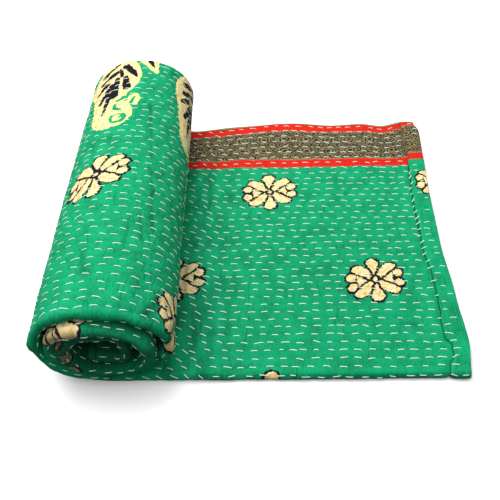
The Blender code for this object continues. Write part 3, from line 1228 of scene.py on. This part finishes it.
@dataclass(frozen=True)
class Stretch:
    """A stretch of the quilt, made as one closed shell of cloth.

    Attributes:
        name: The piece's name.
        start: Where it starts along the cloth.
        end: Where it ends.
        column_step: Its points' spacing along the cloth.
        top_step: Their spacing across the top layer.
        bottom_step: Their spacing across the bottom layer.
        middle_step: Their spacing across the two layers between.
        map_shares: How much of the bake's map the top, bottom and middle layers get.
    """

    name: str
    start: float
    end: float
    column_step: float
    top_step: float
    bottom_step: float
    middle_step: float
    map_shares: tuple[float, float, float]

    def rows(self, lie: Lie) -> Array:
        """Distances across the cloth of the grid's rows: close at folds and free edges."""
        fold_step, after_edge, last = 1.1 * MM, 2.4 * MM, lie.full_across
        return np.concatenate([
            FREE_EDGE,
            ticks(after_edge, lie.front_fold[0], self.top_step),
            ticks(*lie.front_fold, fold_step),
            ticks(lie.front_fold[1], lie.rear_fold[0], self.bottom_step),
            ticks(*lie.rear_fold, fold_step),
            ticks(lie.rear_fold[1], lie.inner_fold[0], self.middle_step),
            ticks(*lie.inner_fold, fold_step),
            ticks(lie.inner_fold[1], last - after_edge, self.middle_step),
            last - FREE_EDGE[::-1],
        ])

    def columns(self, lie: Lie) -> Array:
        """Distances along the cloth of the grid's columns: close at free ends and the hem."""
        step, after_edge, low, high = self.column_step, 2.5 * MM, *CREASED
        hem_start, hem_end, hem_step = 15 * MM, 27 * MM, 1.2 * MM
        runs = [ticks(self.start, self.end, step), np.array([self.end])]
        if self.start < low < high < self.end:
            runs = [ticks(self.start, low, step), ticks(low, high, step / 3),
                    ticks(high, self.end, step), np.array([self.end])]
        if self.start == 0:
            runs = [FREE_EDGE, ticks(after_edge, hem_start, step), ticks(hem_start, hem_end, hem_step),
                    ticks(hem_end, self.end, step), np.array([self.end])]
        if self.end == lie.full_along:
            runs = [ticks(self.start, self.end - after_edge, step), self.end - FREE_EDGE[::-1]]
        return np.concatenate(runs)

    def thickness(self, along: Array, across: Array, lie: Lie) -> Array:
        """Half the cloth's thickness, which rounds off like a quarter circle at free edges."""
        to_edge = np.minimum(across, lie.full_across - across)
        to_edge = np.minimum(to_edge, np.minimum(along, lie.full_along - along))
        round_off = np.clip(1 - to_edge / MM, 0, 1)
        return CLOTH_THICKNESS / 2 * np.sqrt(np.clip(1.06 - round_off**2, 0, 1))

    def build(self, lie: Lie, relief: Relief, cotton: Material) -> Piece:
        """Build the stretch.

        The face is the cloth's middle plus half its thickness and the relief along the
        normal, the reverse is the middle less half the thickness, and a rim joins them.

        Args:
            lie: How the quilt lies.
            relief: The small heights of its face.
            cotton: The printed cotton.

        Returns:
            The piece, dressed.
        """
        rows, columns = self.rows(lie), self.columns(lie)
        across, along = np.meshgrid(rows, columns, indexing="ij")
        middle, _, _, normal = lie.frame_at(along, across)
        half = self.thickness(along, across, lie)[..., None]
        height = relief.height(along, across)[..., None] * half / (CLOTH_THICKNESS / 2)
        face = on_floor(middle + normal * (half + height))
        reverse = on_floor(middle - normal * half)
        count = along.size
        border = border_of(*along.shape)
        following = np.roll(border, -1)
        rim = np.column_stack([border, following, following + count, border + count])
        faces = np.concatenate([
            grid_faces(*along.shape, flip=True), grid_faces(*along.shape, first=count), rim
        ])
        made = make_mesh(self.name, np.concatenate([face.reshape(-1, 3), reverse.reshape(-1, 3)]), faces)
        places = print_places(along, across, relief).reshape(-1, 3)
        set_attribute(made, "print", np.concatenate([places, places + REVERSE_SHIFT]))
        # Painted shade for the face, which darkens the cotton's colour; the reverse gets none
        shade = relief.shade(along, across).ravel()
        set_attribute(made, "shade", np.concatenate([shade, shade * 0]))
        self._map(made, along, across, lie, len(rim))
        dress(made, cotton)
        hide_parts("quilt")
        return made

    def _map(self, made: Piece, along: Array, across: Array, lie: Lie, rim: int) -> None:
        """Lay out the bake's map: the layers that show get most of it, and the rim a line."""
        margin = 0.01
        stops = [0, lie.front_fold[1], lie.rear_fold[1], lie.full_across]
        upward = np.interp(across, stops, margin + np.cumsum([0, *self.map_shares]))
        sideways = margin + (1 - 2 * margin) * (along - self.start) / (self.end - self.start)
        reverse_low, reverse_high = 0.93, 0.99
        under = reverse_low + (reverse_high - reverse_low) * across / lie.full_across
        sides = [np.stack([sideways, height], -1).reshape(-1, 2) for height in (upward, under)]
        places = np.concatenate(sides)
        corners = np.empty(len(made.data.loops), np.int32)
        made.data.loops.foreach_get("vertex_index", corners)
        rim_corners = corners[-4 * rim :]
        corners[-4 * rim :] = np.where(rim_corners >= along.size, rim_corners - along.size, rim_corners)
        layer = made.data.uv_layers.new(name="OFBake")
        layer.data.foreach_set("uv", places[corners].astype(np.float32).ravel())


@dataclass(frozen=True)
class Hem:
    """The strip that the quilt's end is turned over in, on the top layer of the tail.

    Its section rises over the hem's inner edge, runs flat to the end and turns round it. The
    rise and the end are given in millimetres, along the cloth and over it.
    """

    name: str = "hem"
    flat_steps: int = 7
    print_shift: float = -3 * MM
    last: float = 387 * MM
    row_step: float = 2.4 * MM
    fold_step: float = 1.0 * MM
    rise_by: tuple[float, ...] = (0.35, 0.3, 0.0, -0.45, -1.1)
    rise_to: tuple[float, ...] = (-0.6, 0.35, 0.8, 1.13, 1.28)
    end_by: tuple[float, ...] = (1.0, 0.2, -0.4, -0.75, -0.8, -0.6, 0.2)
    end_to: tuple[float, ...] = (1.28, 1.15, 0.7, -0.1, -1.0, -1.6, -1.9)

    def build(self, lie: Lie, relief: Relief, cotton: Material) -> Piece:
        """Build the hem.

        Args:
            lie: How the quilt lies.
            relief: The small heights of its face and the hem's inner edge.
            cotton: The printed cotton.

        Returns:
            The piece, dressed.
        """
        rows = np.concatenate([
            np.array([0.0, 0.5, 1.4]) * MM, ticks(self.row_step, lie.front_fold[0], self.row_step),
            ticks(lie.front_fold[0], self.last, self.fold_step), np.array([self.last]),
        ])
        rise_to, end_to = np.array(self.rise_to) * MM, np.array(self.end_to) * MM
        start = relief.hem_edge(rows)[:, None] + np.array(self.rise_by) * MM
        ends = np.broadcast_to(np.array(self.end_by) * MM, (len(rows), len(self.end_by)))
        flat = np.linspace(0, 1, self.flat_steps + 2)[1:-1]
        between = start[:, -1:] + (ends[:, :1] - start[:, -1:]) * flat
        along = np.concatenate([start, between, ends], 1)
        section = np.concatenate([rise_to, np.full(self.flat_steps, HEM_THICKNESS), end_to])
        height = np.broadcast_to(section, along.shape)
        across = np.broadcast_to(rows[:, None], along.shape)
        on_cloth = np.clip(along, 0, None)
        middle, go_along, _, normal = lie.frame_at(on_cloth, across)
        share = np.clip(across / (2 * MM), 0.25, 1)
        share = share * np.clip((self.last + 1 * MM - across) / (10 * MM), 0.05, 1)
        height = np.where(height > 0, height * share, height)
        soft = relief.height(on_cloth, across) + HEM_SOFTNESS.at(across, along)
        lift = CLOTH_THICKNESS / 2 + height + np.where(height > 0, np.clip(soft, -0.5 * MM, 1 * MM), 0)
        past_end = np.clip(along, None, 0)[..., None]
        points = on_floor(middle + normal * lift[..., None] + go_along * past_end)
        made = make_mesh(self.name, points.reshape(-1, 3), grid_faces(*along.shape))
        shift = HEM_PRINT_SHIFT.at(across)
        places = print_places(along + self.print_shift, across + shift, relief)
        set_attribute(made, "print", places.reshape(-1, 3))
        return dress(made, cotton)


@dataclass(frozen=True)
class Stitches:
    """Running stitches: short threads on the cloth, with their ends drawn into it.

    Attributes:
        name: The piece's name.
        along: From where to where along the cloth they run.
        across: The strips across the cloth that have them.
        seed: Which random places to use.
        rings: How many rings of points a thread has.
        sides: How many points a ring has.
        end_gap: How far from the stretch's ends the stitches keep.
    """

    name: str
    along: Pair
    across: tuple[Pair, ...]
    seed: int
    rings: int = 7
    sides: int = 5
    end_gap: float = 3.5 * MM

    def places(self, relief: Relief) -> tuple[Array, Array, Array, Array]:
        """Choose the stitches, row by row, at uneven distances.

        Args:
            relief: Says how the rows wander.

        Returns:
            For each stitch its place along and across, its length and its lean.
        """
        rng = np.random.default_rng(self.seed)
        first = np.ceil((min(low for low, _ in self.across) - FIRST_ROW) / ROW_PITCH)
        last = np.floor((max(high for _, high in self.across) - FIRST_ROW) / ROW_PITCH)
        numbers = np.arange(first, last + 1)
        per_row = int((self.along[1] - self.along[0]) / STITCH_PITCH) + 3
        steps = STITCH_PITCH * rng.normal(1, 0.13, (len(numbers), per_row))
        along = self.along[0] - STITCH_PITCH * rng.uniform(0, 1, (len(numbers), 1)) + np.cumsum(steps, 1)
        on_row = np.broadcast_to((FIRST_ROW + numbers * ROW_PITCH)[:, None], along.shape)
        wander = (relief.row_phase(along, on_row) - numbers[:, None]) * ROW_PITCH
        across = on_row - wander + rng.normal(0, 0.45 * MM, along.shape)
        length = STITCH_LENGTH * np.clip(rng.normal(1, 0.15, along.shape), 0.6, 1.4)
        lean = np.radians(STITCH_LEAN.at(along) + rng.normal(0, 7, along.shape))
        kept = (along > self.along[0] + self.end_gap) & (along < self.along[1] - self.end_gap)
        in_strip = np.zeros_like(kept)
        for low, high in self.across:
            in_strip |= (on_row > low) & (on_row < high)
        kept &= in_strip
        kept &= (across > HEM_SEWN[1]) | (np.abs(along - relief.hem_edge(across)) > STITCH_LENGTH * 0.75)
        return along[kept], across[kept], length[kept], lean[kept]

    def build(self, lie: Lie, relief: Relief, thread: Material) -> Piece:
        """Build the stitches, each a tube of a few rings along its line.

        The line runs straight over dips, stands over the cloth by part of the thread's
        radius, and falls into it at both ends with the sixth power.

        Args:
            lie: How the quilt lies.
            relief: The small heights of its face.
            thread: The thread's material.

        Returns:
            The joined stitches, dressed.
        """
        along, across, length, lean = self.places(relief)
        run = np.linspace(-1, 1, self.rings)
        half = (length / 2)[:, None] * run
        line_along = along[:, None] + half * np.cos(lean)[:, None]
        line_across = across[:, None] + half * np.sin(lean)[:, None]
        middle, go_along, go_across, normal = lie.frame_at(line_along, line_across)
        direction = unit(go_along * np.cos(lean)[:, None, None] + go_across * np.sin(lean)[:, None, None])
        beside = np.cross(normal, direction)
        face = relief.height(line_along, line_across) + relief.hem_height(line_along, line_across)
        taut = face[:, 1:2] + (face[:, -2:-1] - face[:, 1:2]) * (run + 1) / 2
        lift = CLOTH_THICKNESS / 2 + np.maximum(face, taut) + THREAD_RADIUS * (0.95 - 1.95 * run**6)
        centre = middle + normal * lift[..., None]
        turn = np.arange(self.sides) * 2 * pi / self.sides + pi / 2
        radius = THREAD_RADIUS * (1 - 0.35 * run**8)[None, :, None, None]
        ring = (
            centre[:, :, None]
            + beside[:, :, None] * np.cos(turn)[:, None] * radius
            + normal[:, :, None] * np.sin(turn)[:, None] * radius * 0.75
        )
        ring = on_floor(ring)
        one = self._tube()
        count = self.rings * self.sides
        faces = (np.arange(len(along))[:, None, None] * count + one).reshape(-1, one.shape[1])
        return dress(make_mesh(self.name, ring.reshape(-1, 3), faces), thread)

    def _tube(self) -> Array:
        """The faces of one thread: a closed tube, without its ends, which are in the cloth."""
        numbers = np.arange(self.rings * self.sides).reshape(self.rings, self.sides)
        after = np.roll(numbers, -1, axis=1)
        return np.stack([numbers[:-1], after[:-1], after[1:], numbers[1:]], -1).reshape(-1, 4)


@dataclass(frozen=True)
class HemStitches(Stitches):
    """The slanted stitches that hold the hem's inner edge down."""

    def places(self, relief: Relief) -> tuple[Array, Array, Array, Array]:
        """Choose one stitch for each row, leaning more towards the rear.

        Args:
            relief: Says where the hem's inner edge is.

        Returns:
            For each stitch its place along and across, its length and its lean.
        """
        rng = np.random.default_rng(self.seed)
        across = np.arange(*HEM_SEWN, ROW_PITCH)
        across = across + rng.normal(0, 0.8 * MM, across.shape)
        along = relief.hem_edge(across) + rng.normal(0.6 * MM, 0.6 * MM, across.shape)
        length = STITCH_LENGTH * np.clip(rng.normal(0.9, 0.15, across.shape), 0.6, 1.2)
        lean = np.radians(np.interp(across, HEM_SEWN, [52, 12]))
        return along, across, length, lean + rng.normal(0, 0.12, across.shape)


@dataclass(frozen=True)
class Studio:
    """A white sweep under soft light from above, and the camera at the photo's angle."""

    eye: tuple[float, float, float] = (0.020397, -0.604407, 0.620156)
    pitch_degrees: float = 46.47751
    yaw_degrees: float = 2.72145
    roll_degrees: float = -2.88307
    focal_length: float = 55.93
    sensor_width: float = 36.0
    floor_size: float = 8.0
    floor_glow: float = 0.14
    floor_drop: float = 0.3 * MM
    sky_top: float = 1.7
    sky_level: float = 0.03
    key_place: tuple[float, float, float] = (-0.46, 0.34, 1.12)
    key_size: float = 1.2
    key_power: float = 15.6

    def build(self) -> None:
        """Make the floor, the lights and the camera."""
        self._floor()
        self._light("key light")
        self._world()
        bpy.context.scene.view_settings.view_transform = "Standard"
        self._camera()

    def _world(self) -> None:
        """A light tent: a sky that falls off from overhead with the square of the height."""
        world = bpy.data.worlds.new("light tent")
        world.use_nodes = True
        tree = world.node_tree
        direction = add(tree, "ShaderNodeTexCoord", {}, 0)
        height = Value(tree, add(tree, "ShaderNodeSeparateXYZ", {0: direction}, 2))
        up = height.share()
        strength = up * up * (self.sky_top - self.sky_level) + self.sky_level
        background = tree.nodes["Background"]
        background.inputs["Color"].default_value = (1.0, 1.0, 1.0, 1.0)
        tree.links.new(strength.socket, background.inputs["Strength"])
        bpy.context.scene.world = world

    def _floor(self) -> None:
        """A flat white floor just under the quilt, lit a little from below as on a light table."""
        square = np.array([[-1, -1], [1, -1], [1, 1], [-1, 1]]) * self.floor_size / 2
        corners = np.column_stack([square, np.full(4, -self.floor_drop)])
        floor = make_mesh("floor", corners, np.arange(4)[None])
        material, _, shader = new_material("white paper sweep", 0.7)
        shader.inputs["Base Color"].default_value = linear("FBFBFB")
        shader.inputs["Emission Color"].default_value = (1.0, 1.0, 1.0, 1.0)
        shader.inputs["Emission Strength"].default_value = self.floor_glow
        floor.data.materials.append(material)
        floor.visible_diffuse = False

    def _light(self, name: str) -> None:
        """A square soft light that points at the quilt."""
        data = bpy.data.lights.new(name, "AREA")
        data.size = self.key_size
        data.energy = self.key_power
        light = bpy.data.objects.new(name, data)
        light.location = self.key_place
        light.rotation_euler = (-Vector(self.key_place)).to_track_quat("-Z", "Y").to_euler()
        bpy.context.scene.collection.objects.link(light)

    def _camera(self) -> None:
        """Point the camera by its pitch below level, its yaw to the left, and its roll."""
        pitch, yaw, roll = (radians(d) for d in (self.pitch_degrees, self.yaw_degrees, self.roll_degrees))
        ahead = Vector((-sin(yaw) * cos(pitch), cos(yaw) * cos(pitch), -sin(pitch)))
        level = Vector((cos(yaw), sin(yaw), 0))
        upright = level.cross(ahead)
        right = level * cos(roll) + upright * sin(roll)
        up = upright * cos(roll) - level * sin(roll)
        data = bpy.data.cameras.new("camera")
        data.lens = self.focal_length
        data.sensor_width = self.sensor_width
        data.clip_start = 0.01
        camera = bpy.data.objects.new("camera", data)
        turn = Matrix((right, up, -ahead)).transposed()
        camera.matrix_world = Matrix.Translation(Vector(self.eye)) @ turn.to_4x4()
        bpy.context.scene.collection.objects.link(camera)
        bpy.context.scene.camera = camera


def main() -> None:
    """Build the studio and the quilt's pieces in order, and report each."""
    logging.basicConfig(level=logging.INFO, format="%(message)s")
    Studio().build()
    lie, relief = Lie(), Relief()
    cotton, thread = PrintedCotton().make(), CottonThread().make()
    first_turn, second_turn, whole = lie.along_at(0), lie.along_at(1), lie.full_along
    fine, medium, coarse, hidden = 2.4 * MM, 6 * MM, 12 * MM, 14 * MM
    shares_tail, shares_roll, shares_inside = (0.76, 0.08, 0.07), (0.08, 0.76, 0.07), (0.3, 0.3, 0.3)
    stretches = (
        Stretch("quilt_tail", 0, first_turn, 4 * MM, fine, coarse, hidden, shares_tail),
        Stretch("quilt_roll", first_turn, second_turn, 4 * MM, coarse, fine, hidden, shares_roll),
        Stretch("quilt_inside", second_turn, whole, 5 * MM, medium, medium, hidden, shares_inside),
    )
    made = [stretch.build(lie, relief, cotton) for stretch in stretches]
    hem = Hem().build(lie, relief, cotton)
    top, bottom = (0, 384 * MM), (372 * MM, 760 * MM)
    front_top, rear_top = (290 * MM, 384 * MM), (0, 45 * MM)
    front_bottom, rear_bottom = (384 * MM, 460 * MM), (715 * MM, 760 * MM)
    ends = (front_top, front_bottom, rear_top, rear_bottom)
    sets = (
        Stitches("stitches_tail", (0, first_turn), (top,), 41),
        Stitches("stitches_roll", (first_turn, second_turn), (bottom, front_top, rear_top), 43),
        Stitches("stitches_inside", (second_turn, whole), ends, 47),
        HemStitches("stitches_hem", (0, 0), (), 53),
    )
    sewn = [each.build(lie, relief, thread) for each in sets]
    for piece in [*made, hem, *sewn]:
        LOG.info("%s: %d faces", piece.name, len(piece.data.polygons))


if __name__ == "__main__":
    main()
